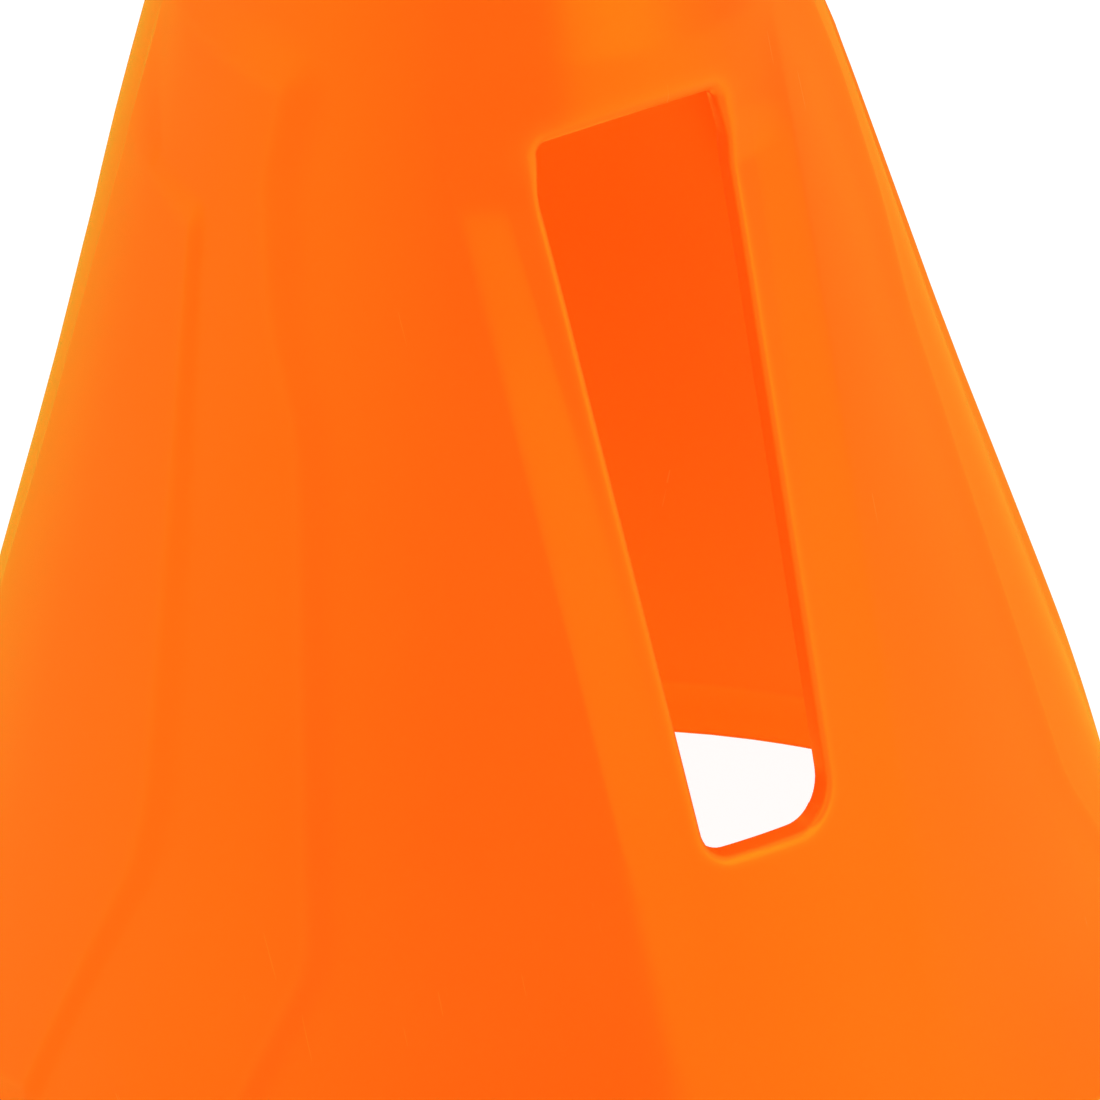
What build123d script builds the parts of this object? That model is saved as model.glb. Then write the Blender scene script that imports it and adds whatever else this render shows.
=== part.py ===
from build123d import *
import os
from math import atan2, cos, hypot

# Hollow frustum standing on z = 0, with its axis on Z
base_diameter = 75.0
top_diameter = 26.4
height = 80.0
wall = 1.5  # square to the sloping side
foot_height = 3.3  # upright inner land just above the ground
foot_round = 0.5
lip_thickness = 2.0  # inward lip round the open top
lip_width = 3.2
lip_round = 0.5

# Slots through the sides at -Y and +Y, wider at the top
slot_bottom = 21.0
slot_length = 39.6
slot_bottom_width = 8.1
slot_top_width = 12.3
slot_bottom_round = 1.6
slot_top_round = 0.4
slot_edge_round = 0.35

# Shields at -X and +X: a low plateau with a smaller one on top of it
shield_step = 0.25
shield_corner_round = 1.2
shield_bottom = 3.0
shield_flare = 12.9  # from the bottom edge up to the widest level
shield_body = 28.6  # from the widest level up to the knee
shield_crown = 18.6  # from the knee up to the top edge
shield_bottom_width = 37.4
shield_widest_width = 42.4
shield_knee_width = 27.3
shield_top_width = 16.4

badge_bottom = 5.6
badge_flare = 13.7
badge_waist = 3.6  # upright stretch at the widest level
badge_body = 26.1
badge_crown = 7.5
badge_bottom_width = 12.8
badge_widest_width = 21.2
badge_knee_width = 12.1
badge_top_width = 7.0

# Sizes that follow from those above
base_radius = base_diameter / 2
top_radius = top_diameter / 2
taper = (base_radius - top_radius) / height
level_wall = wall / cos(atan2(base_radius - top_radius, height))
hole_radius = top_radius - lip_width
slot_top = slot_bottom + slot_length
lip_underside = height - lip_thickness
step_root = -level_wall / 2  # how deep a raised step is rooted in the wall


def outer_radius(z):
    return base_radius - taper * z


def inner_radius(z):
    return outer_radius(z) - level_wall


def symmetric_outline(levels):
    right = [(width / 2, z) for width, z in levels]
    left = [(-across, z) for across, z in reversed(right)]
    return right + left


def raised_step(levels, rise):
    # A skin of the cone, kept only where the outline covers it on both sides
    with BuildPart() as step:
        with BuildSketch(Plane.XZ):
            with BuildLine():
                Polyline(
                    (base_radius + step_root, 0),
                    (base_radius + rise, 0),
                    (top_radius + rise, height),
                    (top_radius + step_root, height),
                    close=True,
                )
            make_face()
        revolve(axis=Axis.Z)
        with BuildSketch(Plane.YZ) as outline:
            with BuildLine():
                Polyline(*symmetric_outline(levels), close=True)
            make_face()
            fillet(outline.vertices(), radius=shield_corner_round)
        extrude(amount=base_diameter, both=True, mode=Mode.INTERSECT)
    return step.part


shield_widest = shield_bottom + shield_flare
shield_knee = shield_widest + shield_body
shield_levels = [
    (shield_bottom_width, shield_bottom),
    (shield_widest_width, shield_widest),
    (shield_knee_width, shield_knee),
    (shield_top_width, shield_knee + shield_crown),
]
shields = raised_step(shield_levels, shield_step)

badge_widest = badge_bottom + badge_flare
badge_shoulder = badge_widest + badge_waist
badge_knee = badge_shoulder + badge_body
badge_levels = [
    (badge_bottom_width, badge_bottom),
    (badge_widest_width, badge_widest),
    (badge_widest_width, badge_shoulder),
    (badge_knee_width, badge_knee),
    (badge_top_width, badge_knee + badge_crown),
]
badges = raised_step(badge_levels, 2 * shield_step)


def on_outside(edge):
    middle = edge.center()
    return hypot(middle.X, middle.Y) > outer_radius(middle.Z) - level_wall / 2


with BuildPart() as cone_body:
    # Wall, foot and lip in one section
    with BuildSketch(Plane.XZ) as section:
        with BuildLine():
            Polyline(
                (base_radius, 0),
                (top_radius, height),
                (hole_radius, height),
                (hole_radius, lip_underside),
                (inner_radius(lip_underside), lip_underside),
                (inner_radius(foot_height), foot_height),
                (inner_radius(foot_height), 0),
                close=True,
            )
        make_face()
        fillet(section.vertices().group_by(Axis.Y)[0], radius=foot_round)
        fillet(section.vertices().group_by(Axis.Y)[-1], radius=lip_round)
    revolve(axis=Axis.Z)

    add(shields)
    add(badges)

    # One straight cut makes both slots
    with BuildSketch(Plane.XZ) as slot:
        with BuildLine():
            Polyline(
                (-slot_bottom_width / 2, slot_bottom),
                (slot_bottom_width / 2, slot_bottom),
                (slot_top_width / 2, slot_top),
                (-slot_top_width / 2, slot_top),
                close=True,
            )
        make_face()
        fillet(slot.vertices().group_by(Axis.Y)[0], radius=slot_bottom_round)
        fillet(slot.vertices().group_by(Axis.Y)[-1], radius=slot_top_round)
    extrude(amount=base_diameter, both=True, mode=Mode.SUBTRACT)
    fillet(cone_body.edges(Select.LAST).filter_by(on_outside), radius=slot_edge_round)

cone_body.part.label = "cone_body"

os.makedirs("parts", exist_ok=True)
export_step(cone_body.part, "parts/cone_body.step")
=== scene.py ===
import math

import bmesh
import bpy
import numpy as np
from mathutils import Matrix, Vector


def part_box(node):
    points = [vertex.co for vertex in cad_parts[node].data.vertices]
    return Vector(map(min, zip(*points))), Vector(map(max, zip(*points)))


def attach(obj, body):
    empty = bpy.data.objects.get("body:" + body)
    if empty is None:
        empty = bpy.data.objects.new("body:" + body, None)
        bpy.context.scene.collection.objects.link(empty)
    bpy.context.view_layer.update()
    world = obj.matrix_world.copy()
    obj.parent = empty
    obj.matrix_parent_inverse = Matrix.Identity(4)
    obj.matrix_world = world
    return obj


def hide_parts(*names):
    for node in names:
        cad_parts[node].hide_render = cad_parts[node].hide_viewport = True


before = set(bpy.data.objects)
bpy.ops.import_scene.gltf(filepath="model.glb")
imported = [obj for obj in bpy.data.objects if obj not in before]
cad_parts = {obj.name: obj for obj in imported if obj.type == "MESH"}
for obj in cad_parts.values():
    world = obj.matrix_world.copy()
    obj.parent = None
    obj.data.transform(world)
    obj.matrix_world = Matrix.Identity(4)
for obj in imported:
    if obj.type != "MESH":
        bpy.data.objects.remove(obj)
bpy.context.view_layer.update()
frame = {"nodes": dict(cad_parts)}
mm = 0.001
scene = bpy.context.scene
scene.view_settings.view_transform = "Standard"
print("frame loaded:", ", ".join(frame["nodes"]))


# Marker cone: sizes in millimetres, slots at -Y and +Y, panels at -X and +X
# A quarter runs from a slot's middle to a panel's: its hand is 1 left of the front slot, and -1 right of it
cone = {
    "baseRadius": 37.5,
    "topRadius": 13.2,
    "height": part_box("cone_body")[1][2] / mm,
    "wall": 1.5,
    "footHeight": 3.3,  # upright land inside the foot
    "footRound": 0.5,
    "lipThickness": 2.0,
    "lipWidth": 3.2,
    "lipRound": 0.5,
    "waviness": 0.02,  # moulded plastic is never quite round
    "waves": ((1.0, 2, 31.0, 0.7), (0.6, 5, 17.0, 0.0), (0.5, 3, 6.5, 0.0)),  # height, lobes, length, start
    "oval": 0.5,  # how much smaller the radius is at the panels than at the slots
    "ovalLevels": (5.0, 35.0),  # round at the foot, oval from the upper level on
    "flare": {1: 0.0, -1: 0.95},  # how far the foot stands out between slot and panel
    "flareLevel": 9.0,  # no flare from here on
    "twist": -0.027,  # degrees for each millimetre of height, set while the plastic cooled
    "twistLevel": 31.7,
}
cone["taper"] = (cone["baseRadius"] - cone["topRadius"]) / cone["height"]
cone["lean"] = math.atan(cone["taper"])
cone["levelWall"] = cone["wall"] / math.cos(cone["lean"])

slot = {
    "bottom": 20.7,
    "top": 59.95,
    "arch": 0.5,  # how far the top edge rises in its middle
    "slants": (0.06, 0.066),  # how much the bottom and the top edge fall to one side
    "slantReach": 9.0,  # how far above and below an edge the rows still slant with it
    "slantFade": 5.0,  # and over what width beside the slot that dies out
    "bottomWidth": 8.1,
    "topWidth": 12.3,
    "bottomRound": {1: 1.5, -1: 2.4},
    "topRound": 0.45,
    "edgeRound": 0.45,
    "pinch": 0.55,  # the sides close in at the top, and the rounded edge grows by as much
    "pinchLevel": 57.4,
    "cornerReach": 8.0,  # how far the rows still bend with the slot's ends
}

# Shallow trough that the slot lies in, with a flat facet down each side
trough = {
    "floorLevels": (38.0, 54.0),
    "floorMargins": (1.15, 1.75),  # between the slot and the facet
    "creaseMargin": 4.8,
    "levels": (2.0, 11.7, 19.5, 31.0, 38.8, 46.6, 50.5, 56.3, 58.7, 64.0),
    "depths": (0.0, 0.3, 0.35, 0.47, 0.585, 0.745, 0.77, 0.92, 0.4, 0.0),
    "fullDepth": 0.3,  # from here on the facets are quite flat
    "soften": 0.2,
    "softenSamples": 5,
}

# Panels: a low shield with a smaller badge on it, their widths measured from the panel's middle
panel = {
    "footRound": 0.3,  # shares of a bevel that are rounded off at its foot and at its crest
    "crestRound": 0.12,
    "softenSamples": 9,
    "fadeReach": 5.0,  # a fading top edge has its widest bevel from here on
    "sinkSpread": 0.5,
    "sinkReach": 6.0,  # a sunk plateau comes up again from here to the middle
}

shield = {
    "riseLevels": (40.0, 54.0),
    "rises": (0.34, 0.6),
    "levels": (3.0, 15.9, 44.0, 50.0, 57.5, 63.9),
    "halfWidths": (18.7, 21.2, 13.8, 10.8, 8.4, 8.2),
    "slant": {1: 0.19, -1: 0.4},  # the top edge falls towards one slot and climbs towards the other
    "reach": {1: (0.0, 0.0), -1: (2.2, 3.0)},  # how much wider it is towards that other slot, at riseLevels
    "sink": {1: 0.0, -1: 0.1},  # there the plateau has sunk a little behind its crest
    "bevelLevels": (15.0, 35.0, 50.0, 60.0),
    "bevels": (1.3, 1.5, 2.0, 2.2),
    "bottomBevel": 1.3,
    "topBevel": 2.4,
    "topFade": {1: 0.0, -1: 0.0},  # how much wider the top edge's bevel grows away from the middle
    "soften": 1.2,
}

badge = {
    "riseLevels": (20.0, 50.0),
    "rises": (0.48, 0.48),
    "levels": (5.6, 19.3, 22.9, 49.0, 55.4),
    "halfWidths": (6.4, 10.5, 10.5, 5.5, 4.2),
    "slant": {1: 0.3, -1: 0.3},
    "reach": {1: (0.0, 0.0), -1: (0.0, 0.0)},
    "sink": {1: 0.0, -1: 0.0},
    "bevelLevels": (12.0, 20.0, 30.0, 50.0),
    "bevels": (1.3, 1.8, 1.8, 0.9),
    "bottomBevel": 1.2,
    "topBevel": 1.2,
    "topFade": {1: 0.0, -1: 5.8},
    "soften": 1.0,
}

# Paler colour painted on: painted highlights along the slot's rounded edge and the panels' crests, and
# paler at the foot, the land inside it and the lip
wearAndHighlight = {
    # painted highlight along the slot's rounded edge
    "slotReach": 0.45,  # from the slot's outline, in widths of its rounded edge
    "slotSpread": 0.8,
    # painted highlight along the panels' crests
    "panel": 0.22,
    "panelSpread": 0.3,
    # paints the foot's rounding and the land inside the foot pale: on the land it is painted light from the
    # floor
    "foot": 0.9,
    "lip": 0.35,
}

# Mesh of the wall: rows by height and columns by angle, closer together along the edges
grid = {
    "coarsest": 1.4,  # longest step between rows
    "growth": 0.22,  # how fast the steps grow away from an edge
    "fine": 0.2,  # step at the panels' ends, and where the slot closes in
    "cornerFine": (0.12, 0.1),  # at the slot's lower and upper corners
    "crownRises": (-1.5, 0.0, 2.0, 4.0),  # levels on the shield's slanted top edge, and the steps there
    "crownFine": (0.3, 0.3, 0.3, 0.35),
    "clearance": 0.2,  # least distance of a row inside from the land and from the lip
    "arcPoints": 6,  # on each rounding of the foot and the lip
    "slotColumns": 14,  # from the slot's middle to its side
    "slotCrowding": 1.8,  # how much closer together they are at the side
    "filletPoints": 8,  # across the slot's rounded edge
    "besideFillet": (0.1, 0.2, 0.3, 0.42),  # distances of the rows and columns just outside it
    "evenColumns": 8,  # on a facet or a bevel
    "closeColumns": 13,  # on each stretch between those, finer at both ends
    "levels": (1.0, 63.5),  # the columns follow the edges between these
    "sharpAngle": 38,  # degrees
}


def coneRadius(z):
    return cone["baseRadius"] - cone["taper"] * z


def smooth(t):
    t = np.clip(t, 0, 1)
    return t * t * (3 - 2 * t)


def slotHalfWidth(z):
    share = (z - slot["bottom"]) / (slot["top"] - slot["bottom"])
    return (slot["bottomWidth"] + share * (slot["topWidth"] - slot["bottomWidth"])) / 2


def pinch(z):
    share = (z - slot["pinchLevel"]) / (slot["top"] - slot["pinchLevel"])
    return slot["pinch"] * np.clip(share, 0, 1)


def edgeRound(z):
    return slot["edgeRound"] + pinch(z)


# The rows turn the slot's rounded corners at the middle of each arc
cornerShare = 1 - math.sqrt(0.5)
slot["lowCorner"] = slot["bottom"] + cornerShare * max(slot["bottomRound"].values())
slot["highCorner"] = slot["top"] - cornerShare * slot["topRound"]


def slotLine(z, hand):
    # The column that runs up the slot's side and on past both of its ends
    lowRound = slot["bottomRound"][hand]
    highRound = slot["topRound"]
    low = np.clip(slot["bottom"] + lowRound - z, 0, lowRound * (1 - cornerShare))
    high = np.clip(z - slot["top"] + highRound, 0, highRound * (1 - cornerShare))
    lowInset = lowRound - np.sqrt(lowRound ** 2 - low ** 2)
    highInset = highRound - np.sqrt(highRound ** 2 - high ** 2)
    return slotHalfWidth(z) - pinch(z) - lowInset - highInset


def cornerDip(z, hand):
    # How far a row dips at the slot's side, so that it meets the middle of the lower arc there
    dip = slot["lowCorner"] - slot["bottom"] - cornerShare * slot["bottomRound"][hand]
    return dip * (1 - smooth(np.abs(z - slot["lowCorner"]) / slot["cornerReach"]))


def archRise(across):
    return slot["arch"] * np.clip(1 - (2 * across / slot["topWidth"]) ** 2, 0, 1)


def slotSkew(across, z):
    # How far the slot's slanted ends pull a row down or up
    skew = 0
    for end, slant in zip((slot["bottom"], slot["top"]), slot["slants"]):
        skew = skew + slant * across * (1 - smooth(np.abs(z - end) / slot["slantReach"]))
    return skew * (1 - smooth((across - slotHalfWidth(slot["top"])) / slot["slantFade"]))


def slotDistance(across, z, hand):
    # How far a point of the wall lies outside the slot's outline
    middle = (slot["bottom"] + slot["top"]) / 2
    corner = np.where(z < middle, slot["bottomRound"][hand], slot["topRound"])
    past = np.where(z < middle, slot["bottom"] - z, z - slot["top"] - archRise(across)) + corner
    beside = across - slotHalfWidth(z) + pinch(z) + corner
    outside = np.hypot(np.maximum(beside, 0), np.maximum(past, 0))
    return outside + np.minimum(np.maximum(beside, past), 0) - corner


def edgeDrop(distance, r):
    # Quarter round where the wall turns into the slot
    inside = np.clip(r - distance, 0, r)
    return r - np.sqrt(r * r - inside * inside)


def floorMargin(z):
    return np.interp(z, trough["floorLevels"], trough["floorMargins"])


def troughDepth(across, z):
    # How far the wall is drawn in: nothing at the crease, a flat facet, then an even floor
    near = slotHalfWidth(z) + floorMargin(z)
    far = slotHalfWidth(z) + trough["creaseMargin"]
    depth = np.interp(z, trough["levels"], trough["depths"])
    flatness = np.clip(depth / trough["fullDepth"], 0, 1)

    def bulge(x):
        return np.sqrt(np.maximum(coneRadius(z) ** 2 - x * x, 0))

    def drawnIn(x):
        share = np.clip((far - x) / (far - near), 0, 1)
        chord = bulge(far) + share * (bulge(near) - bulge(far))
        return share * depth + flatness * (bulge(np.clip(x, near, far)) - chord)

    shifts = np.linspace(-trough["soften"], trough["soften"], trough["softenSamples"])
    return np.mean([drawnIn(across + s) for s in shifts], axis=0)


def panelHalfWidth(z, part, hand):
    # The mean over a few levels rounds the panel's corners off
    shifts = np.linspace(-part["soften"], part["soften"], panel["softenSamples"])
    halfWidths = [np.interp(z + s, part["levels"], part["halfWidths"]) for s in shifts]
    return np.mean(halfWidths, axis=0) + np.interp(z, part["riseLevels"], part["reach"][hand])


def bevelWidth(z, part):
    return np.interp(z, part["bevelLevels"], part["bevels"])


def panelShare(across, z, part, hand):
    # How far up a panel's bevel a point lies: 0 at the foot, 1 at the crest, and more on the plateau
    crown = part["levels"][-1] - hand * part["slant"][hand] * across
    crownBevel = part["topBevel"] + part["topFade"][hand] * np.clip(across / panel["fadeReach"], 0, 1)
    beside = (across - panelHalfWidth(z, part, hand)) / bevelWidth(z, part)
    below = (part["levels"][0] - z) / part["bottomBevel"]
    past = np.maximum(below, (z - crown) / crownBevel)
    outside = np.hypot(np.maximum(beside, 0), np.maximum(past, 0))
    return 1 - outside - np.minimum(np.maximum(beside, past), 0)


def eased(share):
    # A straight slope from 0 to 1, rounded off at its foot and its crest
    foot = panel["footRound"]
    crest = panel["crestRound"]
    left = 1 - share
    low = np.where(np.abs(share) < foot, (share + foot) ** 2 / (4 * foot), np.maximum(share, 0))
    high = np.where(np.abs(left) < crest, (left + crest) ** 2 / (4 * crest), np.maximum(left, 0))
    return np.where(share < 0.5, low, 1 - high)


def panelRelief(across, z, hand):
    # Height of the shield and the badge above the wall, and the painted highlight along their crests, given
    # as a paler colour
    relief = 0
    wornAndHighlit = 0
    for part in (shield, badge):
        share = panelShare(across, z, part, hand)
        behind = (share - 1) * bevelWidth(z, part)
        sunk = 1 - np.exp(-(np.maximum(behind, 0) / panel["sinkSpread"]) ** 2)
        relief = relief + np.interp(z, part["riseLevels"], part["rises"]) * eased(share)
        relief = relief - part["sink"][hand] * sunk * smooth(across / panel["sinkReach"])
        # painted highlight: a paler band along each crest
        wornAndHighlit = np.maximum(wornAndHighlit, wearAndHighlight["panel"] * np.exp(-(behind / wearAndHighlight["panelSpread"]) ** 2))
    return relief, wornAndHighlit


def unevenness(angle, z, hand):
    # A slow in and out round the oval wall and its flaring foot
    wave = 0
    highest = 0
    for height, lobes, length, start in cone["waves"]:
        wave = wave + height * np.sin(lobes * angle + z / length + start)
        highest = highest + height
    oval = np.interp(z, cone["ovalLevels"], (0, cone["oval"]))
    flare = cone["flare"][hand] * (1 - smooth(z / cone["flareLevel"]))
    spread = flare * np.sin(2 * angle) ** 4 - oval * np.sin(angle) ** 2
    return cone["waviness"] * (wave / highest - 1) + spread


def rounded(centre, radius, start, end):
    turns = np.radians(np.linspace(start, end, grid["arcPoints"]))
    return [(centre[0] + radius * math.cos(t), centre[1] + radius * math.sin(t)) for t in turns]


# Sections of the foot, the lip and the land inside the foot, as radius and height
lean = math.degrees(cone["lean"])
footRound = cone["footRound"]
lipRound = cone["lipRound"]
footCentre = (
    cone["baseRadius"] - footRound * (1 + math.sin(cone["lean"])) / math.cos(cone["lean"]),
    footRound,
)
footSection = rounded(footCentre, footRound, -90, lean)[:-1]

lipLevel = cone["height"] - lipRound
lipUnder = cone["height"] - cone["lipThickness"]
lipCentre = (coneRadius(lipLevel) - lipRound / math.cos(cone["lean"]), lipLevel)
lipRoot = coneRadius(lipUnder) - cone["levelWall"]
holeRadius = cone["topRadius"] - cone["lipWidth"]
lipSection = rounded(lipCentre, lipRound, lean, 90)[1:]
lipSection += rounded((holeRadius + lipRound, lipLevel), lipRound, 90, 180)
lipSection += [(holeRadius, lipUnder), ((holeRadius + lipRoot) / 2, lipUnder), (lipRoot, lipUnder)]

landRadius = coneRadius(cone["footHeight"]) - cone["levelWall"]
landSection = [(landRadius, cone["footHeight"]), (landRadius, cone["footHeight"] / 2)]
landSection += rounded((landRadius + footRound, footRound), footRound, 180, 270)

# Levels with edges, and the step between rows there
edgeLevels = (shield["levels"][0], badge["levels"][0], badge["levels"][-1], slot["pinchLevel"])
rowFeatures = [(level, grid["fine"]) for level in edgeLevels]
rowFeatures += zip((slot["lowCorner"], slot["highCorner"]), grid["cornerFine"])
crownLevels = [shield["levels"][-1] + rise for rise in grid["crownRises"]]
rowFeatures += zip(crownLevels, grid["crownFine"])


def march(start, end):
    # Rows from start to end, closer together near the edges
    rows = [start]
    while rows[-1] < end:
        near = min(fine + grid["growth"] * abs(rows[-1] - level) for level, fine in rowFeatures)
        rows.append(rows[-1] + min(near, grid["coarsest"]))
    rows = np.array(rows)
    return start + (rows - start) * (end - start) / (rows[-1] - start)


filletTurns = np.radians(np.linspace(0, 90, grid["filletPoints"]))


def edgeSteps(z):
    # Distances of rows and columns from the slot's outline, across its rounded edge and on
    r = edgeRound(z)
    return np.concatenate([r * (1 - np.cos(filletTurns)), r + np.array(grid["besideFillet"])])


wallStart = footCentre[1] + footRound * math.sin(cone["lean"])
wallEnd = lipCentre[1] + lipRound * math.sin(cone["lean"])
lowSteps = edgeSteps(slot["bottom"])
highSteps = edgeSteps(slot["top"])
wallRows = np.concatenate([
    march(wallStart, slot["lowCorner"] - lowSteps[-1]),
    slot["lowCorner"] - lowSteps[-2:0:-1],
    march(slot["lowCorner"], slot["highCorner"]),
    slot["highCorner"] + highSteps[1:-1],
    march(slot["highCorner"] + highSteps[-1], wallEnd),
])
firstSlotRow = int(np.argmin(np.abs(wallRows - slot["lowCorner"])))
lastSlotRow = int(np.argmin(np.abs(wallRows - slot["highCorner"])))
innerStart = cone["footHeight"] + grid["clearance"]
innerEnd = lipUnder - grid["clearance"]
innerRows = [z for z in wallRows if innerStart < z < innerEnd]


def finerAtEnds(share):
    return (1 - np.cos(math.pi * share)) / 2


evenShares = np.linspace(0, 1, grid["evenColumns"] + 1)
closeShares = finerAtEnds(np.linspace(0, 1, grid["closeColumns"] + 1))
slotShares = 1 - (1 - np.linspace(0, 1, grid["slotColumns"] + 1)) ** grid["slotCrowding"]


def columnAngles(z, hand):
    # Angles from the slot's middle (0) to the panel's (90 degrees) that follow every edge at this level
    level = min(max(z, grid["levels"][0]), grid["levels"][1])
    r = coneRadius(level)
    side = slotLine(level, hand)
    straight = side + pinch(level)
    shieldEdge = panelHalfWidth(level, shield, hand)
    badgeEdge = panelHalfWidth(level, badge, hand)
    besideSlot = (side, straight + floorMargin(level), straight + trough["creaseMargin"])
    onPanel = (
        shieldEdge + bevelWidth(level, shield),
        shieldEdge,
        badgeEdge + bevelWidth(level, badge),
        badgeEdge,
        0,
    )
    stops = [math.asin(width / r) for width in besideSlot]
    stops += [math.pi / 2 - math.asin(width / r) for width in onPanel]
    angles = [
        stops[0] * slotShares,
        np.arcsin((side + edgeSteps(level)[1:]) / r),
        stops[1] + (stops[2] - stops[1]) * finerAtEnds(evenShares),
    ]
    shares = (closeShares, evenShares, closeShares, evenShares, closeShares)
    for start, end, share in zip(stops[2:], stops[3:], shares):
        angles.append(start + (end - start) * share[1:])
    return np.concatenate(angles)


def rowPath(z, hand):
    # Angles, distances from the slot's middle and heights of a row's points, bent round the slot's ends
    side = grid["slotColumns"]
    dip = cornerDip(z, hand)
    angles = columnAngles(z - dip, hand)
    across = coneRadius(z - dip) * np.sin(angles)
    level = z - dip * (1 - smooth((across - across[side]) / slot["cornerReach"]))
    if slot["lowCorner"] < z < slot["highCorner"]:
        return angles, across, level
    low = z <= slot["lowCorner"]
    corner = slot["bottomRound"][hand] if low else slot["topRound"]
    end = slot["bottom" if low else "top"]
    bend = slot["lowCorner" if low else "highCorner"]
    flat = slotHalfWidth(end) - pinch(end) - corner
    arc = corner - np.sqrt(corner ** 2 - np.clip(across - flat, 0, corner) ** 2)
    bump = abs(bend - end) - arc + (0 if low else archRise(across))
    bump = bump * (1 - smooth(abs(z - bend) / slot["cornerReach"]))
    level[:side] = z + (-bump if low else bump)[:side]
    return angles, across, level


def innerAngles(angles, across, radius):
    # Inside, the columns keep the slot's width and come back to the same angles towards the panel
    side = grid["slotColumns"]
    reach = np.arcsin(np.clip(across / radius, 0, 1))
    share = (angles - angles[side]) / (math.pi / 2 - angles[side])
    return np.where(share < 0, reach, angles + (reach[side] - angles[side]) * (1 - share))


def wallRow(z, inside, hand):
    # A quarter of a ring of the wall, with its paler colour: painted highlights along the slot's edge and
    # the panels' crests
    angles, across, level = rowPath(z, hand)
    away = slotDistance(across, level, hand)
    edge = edgeRound(level)
    level = level - hand * slotSkew(across, z)
    # painted highlight: a paler band along the slot's rounded edge
    wornAndHighlit = np.exp(-((away / edge - wearAndHighlight["slotReach"]) / wearAndHighlight["slotSpread"]) ** 2)
    drawnIn = troughDepth(across, level)
    bare = coneRadius(level)
    turn = angles
    if inside:
        bare = bare - cone["levelWall"]
        turn = innerAngles(angles, across, bare)
    radius = bare + unevenness(angles, level, hand)
    if not inside:
        relief, rubbedAndHighlit = panelRelief(bare * np.cos(angles), level, hand)
        radius = radius + relief
        wornAndHighlit = np.maximum(wornAndHighlit, rubbedAndHighlit)
        drawnIn = drawnIn + edgeDrop(away, edge)
    return np.column_stack([radius * np.sin(turn), drawnIn - radius * np.cos(turn), level, wornAndHighlit])


def fullRing(right, left):
    # Carries the two front quarters round to the back, so that half a turn leaves the cone the same
    back = slice(-2, None, -1)
    turns = [
        right,
        (left * (1, -1, 1, 1))[back],
        (right * (-1, -1, 1, 1))[1:],
        (left * (-1, 1, 1, 1))[back][:-1],
    ]
    return np.concatenate(turns)


def wallRing(z, inside):
    return fullRing(wallRow(z, inside, -1), wallRow(z, inside, 1))


def sectionRings(section, wornAndHighlit):
    # Rings of the foot, the lip or the land, on the columns of the wall beside them, each evenly paler; on
    # the land that is painted light from the floor
    rings = []
    for r, z in section:
        quarters = []
        for hand in (-1, 1):
            angles = columnAngles(z, hand)
            radius = r + unevenness(angles, z, hand)
            plain = np.full(len(angles), z), np.full(len(angles), wornAndHighlit)
            quarters.append(np.column_stack([radius * np.sin(angles), -radius * np.cos(angles), *plain]))
        rings.append(fullRing(*quarters))
    return rings


def twisted(points):
    x, y, z, wornAndHighlit = np.moveaxis(points, -1, 0)
    turn = np.radians(cone["twist"] * (z - cone["twistLevel"]))
    across = x * np.cos(turn) - y * np.sin(turn)
    along = x * np.sin(turn) + y * np.cos(turn)
    return np.stack([across, along, z, wornAndHighlit], axis=-1)


def coneRings():
    # Once round the section: foot, outside, lip, inside, land
    rings = sectionRings(footSection, wearAndHighlight["foot"])
    rings += [wallRing(z, False) for z in wallRows]
    rings += sectionRings(lipSection, wearAndHighlight["lip"])
    rings += [wallRing(z, True) for z in reversed(innerRows)]
    rings += sectionRings(landSection, wearAndHighlight["foot"])
    return twisted(np.array(rings))


def coneFaces(ringCount, columnCount):
    quarterCount = columnCount // 4
    place = np.abs((np.arange(columnCount) + quarterCount) % (2 * quarterCount) - quarterCount)
    nextColumn = np.roll(np.arange(columnCount), -1)
    overSlot = np.minimum(place, place[nextColumn]) < grid["slotColumns"]
    outerStart = len(footSection)
    lowestInner = outerStart + len(wallRows) + len(lipSection) + len(innerRows) - 1
    outerLow = outerStart + firstSlotRow
    outerHigh = outerStart + lastSlotRow
    innerLow = lowestInner - innerRows.index(wallRows[firstSlotRow])
    innerHigh = lowestInner - innerRows.index(wallRows[lastSlotRow])
    faces = []

    def addFace(*corners):
        faces.append([int(ring % ringCount) * columnCount + int(column) for ring, column in corners])

    # The wall, left open over the slots
    for ring in range(ringCount):
        inSlot = outerLow <= ring < outerHigh or innerHigh <= ring < innerLow
        for column, right in enumerate(nextColumn):
            if not (inSlot and overSlot[column]):
                addFace((ring, column), (ring, right), (ring + 1, right), (ring + 1, column))
    # The slots' ends, and their sides
    for column in np.flatnonzero(overSlot):
        right = nextColumn[column]
        for outer, inner in ((outerLow, innerLow), (outerHigh, innerHigh)):
            addFace((outer, column), (outer, right), (inner, right), (inner, column))
    for column in np.flatnonzero(place == grid["slotColumns"]):
        for step in range(lastSlotRow - firstSlotRow):
            outer = outerLow + step
            inner = innerLow - step
            addFace((outer, column), (outer + 1, column), (inner - 1, column), (inner, column))
    return faces


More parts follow.
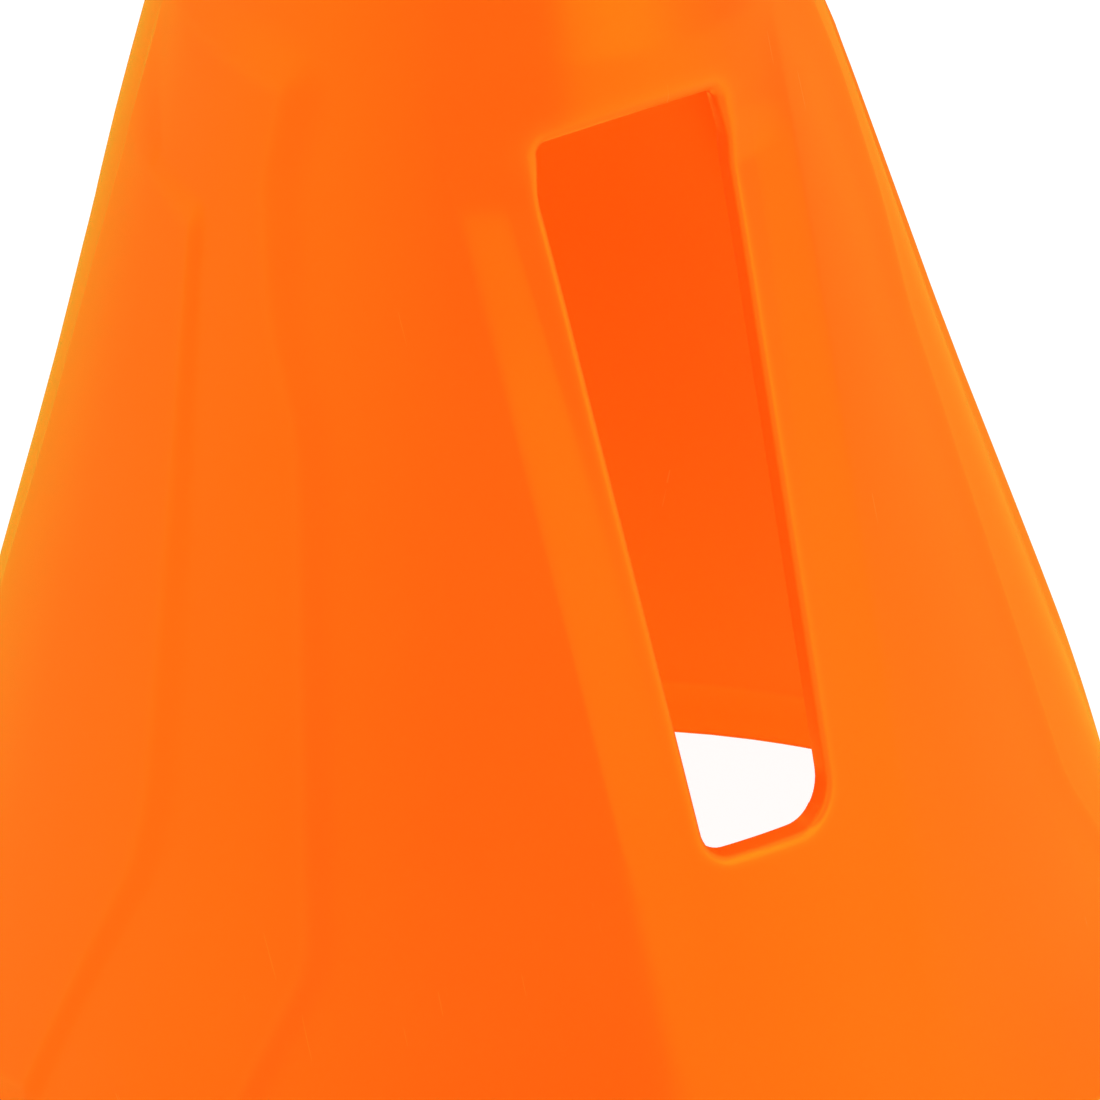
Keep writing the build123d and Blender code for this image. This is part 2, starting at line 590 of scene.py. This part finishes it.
def buildCone():
    points = coneRings()
    flat = points.reshape(-1, 4)
    mesh = bpy.data.meshes.new("cone_shell")
    mesh.from_pydata((flat[:, :3] * mm).tolist(), [], coneFaces(*points.shape[:2]))
    # per-point paler colour: painted highlights along the edges, and the paler foot, land and lip
    mesh.attributes.new("edgeWearAndHighlight", "FLOAT", "POINT").data.foreach_set("value", flat[:, 3])
    shell = bmesh.new()
    shell.from_mesh(mesh)
    bmesh.ops.delete(shell, geom=[v for v in shell.verts if not v.link_faces], context="VERTS")
    bmesh.ops.recalc_face_normals(shell, faces=shell.faces)
    shell.to_mesh(mesh)
    shell.free()
    mesh.polygons.foreach_set("use_smooth", [True] * len(mesh.polygons))
    mesh.set_sharp_from_angle(angle=math.radians(grid["sharpAngle"]))
    piece = bpy.data.objects.new("cone_shell", mesh)
    scene.collection.objects.link(piece)
    print("cone shell:", len(mesh.vertices), "vertices,", len(mesh.polygons), "faces")
    return piece


def setInputs(tree, node, inputs):
    # Each input takes another node's output, or a plain value
    for name, value in inputs.items():
        if isinstance(value, bpy.types.NodeSocket):
            tree.links.new(value, node.inputs[name])
        else:
            node.inputs[name].default_value = value


def addNode(tree, kind, inputs=None, **settings):
    node = tree.nodes.new("ShaderNode" + kind)
    for name, value in settings.items():
        setattr(node, name, value)
    setInputs(tree, node, inputs or {})
    return node


def calculate(tree, operation, *values):
    return addNode(tree, "Math", dict(enumerate(values)), operation=operation).outputs["Value"]


def mapRange(tree, value, before=(0, 1), after=(0, 1)):
    span = {"From Min": before[0], "From Max": before[1], "To Min": after[0], "To Max": after[1]}
    return addNode(tree, "MapRange", {"Value": value, **span}).outputs["Result"]


def mixColours(tree, share, first, second):
    return addNode(tree, "Mix", {0: share, 6: first, 7: second}, data_type="RGBA").outputs[2]


def noise(tree, where, scale, detail):
    return addNode(tree, "TexNoise", {"Vector": where, "Scale": scale, "Detail": detail}).outputs["Fac"]


plastic = {
    "deep": (0.98, 0.1135, 0.004, 1),
    "light": (1.0, 0.1255, 0.0045, 1),
    # paler colour for painted highlights along edges and crests, and for the paler foot, land and lip
    "wornAndHighlit": (1.0, 0.155, 0.007, 1),
    "roughness": (0.18, 0.25),
    "specular": 0.56,
    "gloss": (1.0, 0.85, 0.12, 1),
    "translucency": 0.35,
    "scatter": (1.0, 0.28, 0.06),
    "scatterScale": 0.0022,
    "grainSize": 0.35 * mm,
    "grainHeight": 0.003 * mm,
    "grainDetail": 3,
    "mottleSize": 18 * mm,
    "mottleDetail": 4,
    "scuffSize": (0.22 * mm, 9 * mm),  # width and length
    "scuffDetail": 2,
    "scuffTurns": ((20, 35, 10), (-30, 15, 70)),  # two lays of scuffs, in degrees
    "scuffShare": (0.68, 0.8),  # where the noise turns into a scuff
    "scuffRoughness": 0.06,
    "scuffDepth": -0.12,  # in heights of the grain
}


def addScuffs(tree, where):
    width, length = plastic["scuffSize"]
    lays = []
    for turns in plastic["scuffTurns"]:
        lay = addNode(tree, "Mapping", {
            "Vector": where,
            "Rotation": [math.radians(turn) for turn in turns],
            "Scale": (1 / width, 1 / length, 1 / length),
        })
        streaks = noise(tree, lay.outputs["Vector"], 1, plastic["scuffDetail"])
        lays.append(mapRange(tree, streaks, plastic["scuffShare"]))
    return calculate(tree, "MAXIMUM", *lays)


def orangePlastic():
    material = bpy.data.materials.new("orange_plastic_satin")
    material.use_nodes = True
    tree = material.node_tree
    where = addNode(tree, "TexCoord").outputs["Object"]
    mottle = noise(tree, where, 1 / plastic["mottleSize"], plastic["mottleDetail"])
    tone = mixColours(tree, mottle, plastic["deep"], plastic["light"])
    # where the paler colour is painted: highlights along the edges, and the foot, land and lip
    rubbedAndHighlit = addNode(tree, "Attribute", attribute_name="edgeWearAndHighlight").outputs["Fac"]
    scuffs = addScuffs(tree, where)
    satin = mapRange(tree, mottle, after=plastic["roughness"])
    grain = noise(tree, where, 1 / plastic["grainSize"], plastic["grainDetail"])
    bump = addNode(tree, "Bump", {
        "Strength": 1,
        "Distance": plastic["grainHeight"],
        "Height": calculate(tree, "MULTIPLY_ADD", scuffs, plastic["scuffDepth"], grain),
    })
    shader = tree.nodes["Principled BSDF"]
    shader.subsurface_method = "BURLEY"
    setInputs(tree, shader, {
        "Base Color": mixColours(tree, rubbedAndHighlit, tone, plastic["wornAndHighlit"]),
        "Roughness": calculate(tree, "MULTIPLY_ADD", scuffs, plastic["scuffRoughness"], satin),
        "Specular IOR Level": plastic["specular"],
        "Specular Tint": plastic["gloss"],
        "Subsurface Weight": plastic["translucency"],
        "Subsurface Radius": plastic["scatter"],
        "Subsurface Scale": plastic["scatterScale"],
        "Normal": bump.outputs["Normal"],
    })
    return material


coneShell = buildCone()
coneShell.data.materials.append(orangePlastic())
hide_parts("cone_body")
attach(coneShell, "root")
print("cone shell dressed")


# Floor: white to the camera, with the object's shadow kept
floorLook = {
    "radius": 12.0,
    "segments": 64,
    "gap": 0.02 * mm,  # below the cone's foot
    "colour": (0.9, 0.9, 0.9),
    "glow": 0.94,
    "lit": 0.22,  # share of the light that the camera sees on it
}


def floorWhite():
    material = bpy.data.materials.new("floor_white")
    material.use_nodes = True
    tree = material.node_tree
    tree.nodes.remove(tree.nodes["Principled BSDF"])
    path = addNode(tree, "LightPath").outputs
    seen = calculate(tree, "MAXIMUM", path["Is Camera Ray"], path["Is Transmission Ray"])
    plain = addNode(tree, "BsdfDiffuse", {"Color": (*floorLook["colour"], 1)})
    dim = addNode(tree, "BsdfDiffuse", {"Color": [c * floorLook["lit"] for c in floorLook["colour"]] + [1]})
    glow = addNode(tree, "Emission", {"Strength": floorLook["glow"]})
    shown = addNode(tree, "AddShader", {0: dim.outputs["BSDF"], 1: glow.outputs["Emission"]})
    pick = addNode(tree, "MixShader", {0: seen, 1: plain.outputs["BSDF"], 2: shown.outputs["Shader"]})
    setInputs(tree, tree.nodes["Material Output"], {"Surface": pick.outputs["Shader"]})
    return material


def buildFloor():
    mesh = bpy.data.meshes.new("studio_floor")
    sheet = bmesh.new()
    bmesh.ops.create_circle(
        sheet,
        cap_ends=True,
        segments=floorLook["segments"],
        radius=floorLook["radius"],
    )
    sheet.to_mesh(mesh)
    sheet.free()
    floor = bpy.data.objects.new("studio_floor", mesh)
    floor.location.z = -floorLook["gap"]
    scene.collection.objects.link(floor)
    mesh.materials.append(floorWhite())
    floor.visible_glossy = False
    print("floor laid")


buildFloor()


# Camera at the photo's angle: the slot a little right of the middle, a panel at the left
view = {
    "azimuth": math.radians(-27.2),
    "distance": 830.0,
    "height": 392.011,
    "pan": 0.003027,
    "tilt": 0.414106,
    "roll": -0.045756,
    "lens": 518.475,
    "sensor": 36.0,
    "clipEnd": 100,
}
cameraTurn = Matrix.Rotation(view["azimuth"], 4, "Z")


def placeCamera():
    data = bpy.data.cameras.new("studio_camera")
    data.lens = view["lens"]
    data.sensor_width = view["sensor"]
    data.clip_end = view["clipEnd"]
    camera = bpy.data.objects.new("studio_camera", data)
    scene.collection.objects.link(camera)
    stand = Matrix.Translation((0, -view["distance"] * mm, view["height"] * mm))
    heading = Matrix.Rotation(-view["pan"], 4, "Z")
    pitch = Matrix.Rotation(math.pi / 2 - view["tilt"], 4, "X")
    camera.matrix_world = cameraTurn @ stand @ heading @ pitch @ Matrix.Rotation(view["roll"], 4, "Z")
    scene.camera = camera
    print("camera placed")


placeCamera()


# Studio light: an even white room, a soft lamp, and a little light inside the cone
# Spots are to the right, away and up, as the camera sees it
studio = {
    "room": 1.06,
    "lampEnergy": 1.5,
    "lampSize": 0.9,
    "lampSpot": (0.75, -1.1, 1.3),
    "throughWall": (1.0, 0.8, 0.45),  # light inside has come through the orange wall
    "glowEnergy": 0.0052,
    "glowSize": 6 * mm,
    "glowSpot": (-4.5 * mm, 6.5 * mm, 52 * mm),
    "bounceEnergy": 0.015,
    "bounceSize": 69.6 * mm,
    "bounceSpot": (0.0, 0.0, 0.2 * mm),
}


def lightRoom():
    world = bpy.data.worlds.new("studio_room")
    scene.world = world
    world.use_nodes = True
    tree = world.node_tree
    path = addNode(tree, "LightPath").outputs
    direct = calculate(tree, "MAXIMUM", path["Is Camera Ray"], path["Is Glossy Ray"])
    seen = calculate(tree, "MAXIMUM", direct, path["Is Transmission Ray"])
    strength = mapRange(tree, seen, after=(studio["room"], 1))
    setInputs(tree, tree.nodes["Background"], {"Color": (1, 1, 1, 1), "Strength": strength})
    print("room lit")


def placeLight(data, spot):
    light = bpy.data.objects.new(data.name, data)
    light.location = cameraTurn @ Vector(spot)
    light.visible_glossy = False
    scene.collection.objects.link(light)
    return light


def lightInside():
    glow = bpy.data.lights.new("inner_glow", "POINT")
    glow.energy = studio["glowEnergy"]
    glow.shadow_soft_size = studio["glowSize"]
    bounce = bpy.data.lights.new("inner_bounce", "AREA")
    bounce.energy = studio["bounceEnergy"]
    bounce.shape = "DISK"
    bounce.size = studio["bounceSize"]
    for data, spot in ((glow, studio["glowSpot"]), (bounce, studio["bounceSpot"])):
        data.color = studio["throughWall"]
        inner = placeLight(data, spot)
        inner.rotation_euler.x = math.pi  # the bounce shines upwards
        inner.visible_camera = False
    print("inside lit")


def hangLamp():
    data = bpy.data.lights.new("soft_lamp", "AREA")
    data.energy = studio["lampEnergy"]
    data.size = studio["lampSize"]
    lamp = placeLight(data, studio["lampSpot"])
    lamp.rotation_euler = (-lamp.location).to_track_quat("-Z", "Y").to_euler()
    print("lamp hung")


lightRoom()
lightInside()
hangLamp()


# Warm cloth reflectors round a dark gap at the camera, seen only in the gloss
reflectorLook = {
    "radius": 0.42,
    "segments": 48,
    "rings": 24,
    "cloth": (1.0, 0.95, 0.07),
    "brightest": 2.5,
    # Brightness by bearing from the camera, in degrees, to the right: low on the cone, and high up
    "bearings": (-180, -150, -110, -85, -60, -35, -14, 22, 31, 45, 60, 75, 95, 120, 150, 180),
    "low": (0.9, 0.72, 0.92, 1.14, 1.06, 0.5, 0.02, 0.02, 1.34, 1.5, 1.8, 1.88, 1.36, 0.95, 0.95, 0.9),
    "high": (0.9, 0.72, 0.92, 1.14, 1.06, 0.5, 0.02, 0.02, 1.66, 2.5, 2.4, 1.2, 0.5, 0.9, 0.95, 0.9),
    "green": (0.6, 0.95, 0.95, 1, 1, 1, 1, 1, 1, 1, 1, 1, 1, 0.92, 0.55, 0.6),  # less is more orange
    "heights": (30 * mm, 66 * mm),
    "tilt": 0.19,  # rise of the cloth towards the camera, as the sloping wall mirrors it
    "skyward": 1.7,  # how much brighter the cloth is overhead
    "skyShares": (0.2, 0.7),  # heights, in radii, where that starts and is complete
    "underfoot": 0.85,  # what the gloss inside the cone mirrors from the floor
    "floorShares": (-0.25, -0.45),
}


def clothColour(brightness):
    return [brightness / reflectorLook["brightest"] * c for c in reflectorLook["cloth"]]


def clothRamp(tree, share, levels):
    ramp = addNode(tree, "ValToRGB", {"Fac": share})
    stops = ramp.color_ramp.elements
    for turn in reflectorLook["bearings"][1:-1]:
        stops.new(turn / 360 + 0.5)
    for stop, brightness, green in zip(stops, levels, reflectorLook["green"]):
        r, g, b = clothColour(brightness)
        stop.color = (r, g * green, b * green, 1)
    return ramp.outputs["Color"]


def reflectorCloth():
    material = bpy.data.materials.new("reflector_cloth")
    material.use_nodes = True
    material.cycles.emission_sampling = "NONE"
    tree = material.node_tree
    tree.nodes.remove(tree.nodes["Principled BSDF"])
    where = addNode(tree, "TexCoord").outputs["Object"]
    place = addNode(tree, "SeparateXYZ", {"Vector": where}).outputs
    towards = calculate(tree, "MULTIPLY", place["Y"], -1)
    bearing = calculate(tree, "ARCTAN2", place["X"], towards)
    share = mapRange(tree, bearing, (-math.pi, math.pi))
    level = calculate(tree, "MULTIPLY_ADD", place["Y"], reflectorLook["tilt"], place["Z"])
    climb = mapRange(tree, level, reflectorLook["heights"])
    low = clothRamp(tree, share, reflectorLook["low"])
    high = clothRamp(tree, share, reflectorLook["high"])
    floorLevels = [part * reflectorLook["radius"] for part in reflectorLook["floorShares"]]
    floorward = mapRange(tree, place["Z"], floorLevels)
    underfoot = clothColour(reflectorLook["underfoot"]) + [1]
    skyLevels = [part * reflectorLook["radius"] for part in reflectorLook["skyShares"]]
    strengths = (reflectorLook["brightest"], reflectorLook["brightest"] * reflectorLook["skyward"])
    glow = addNode(tree, "Emission", {
        "Color": mixColours(tree, floorward, mixColours(tree, climb, low, high), underfoot),
        "Strength": mapRange(tree, place["Z"], skyLevels, strengths),
    })
    setInputs(tree, tree.nodes["Material Output"], {"Surface": glow.outputs["Emission"]})
    return material


def buildReflectors():
    mesh = bpy.data.meshes.new("reflector_dome")
    sphere = bmesh.new()
    bmesh.ops.create_uvsphere(
        sphere,
        u_segments=reflectorLook["segments"],
        v_segments=reflectorLook["rings"],
        radius=reflectorLook["radius"],
    )
    sphere.to_mesh(mesh)
    sphere.free()
    reflectors = bpy.data.objects.new("reflector_dome", mesh)
    reflectors.rotation_euler.z = view["azimuth"]
    scene.collection.objects.link(reflectors)
    for sight in ("camera", "diffuse", "transmission", "volume_scatter", "shadow"):
        setattr(reflectors, "visible_" + sight, False)
    mesh.materials.append(reflectorCloth())
    print("reflectors hung")


buildReflectors()
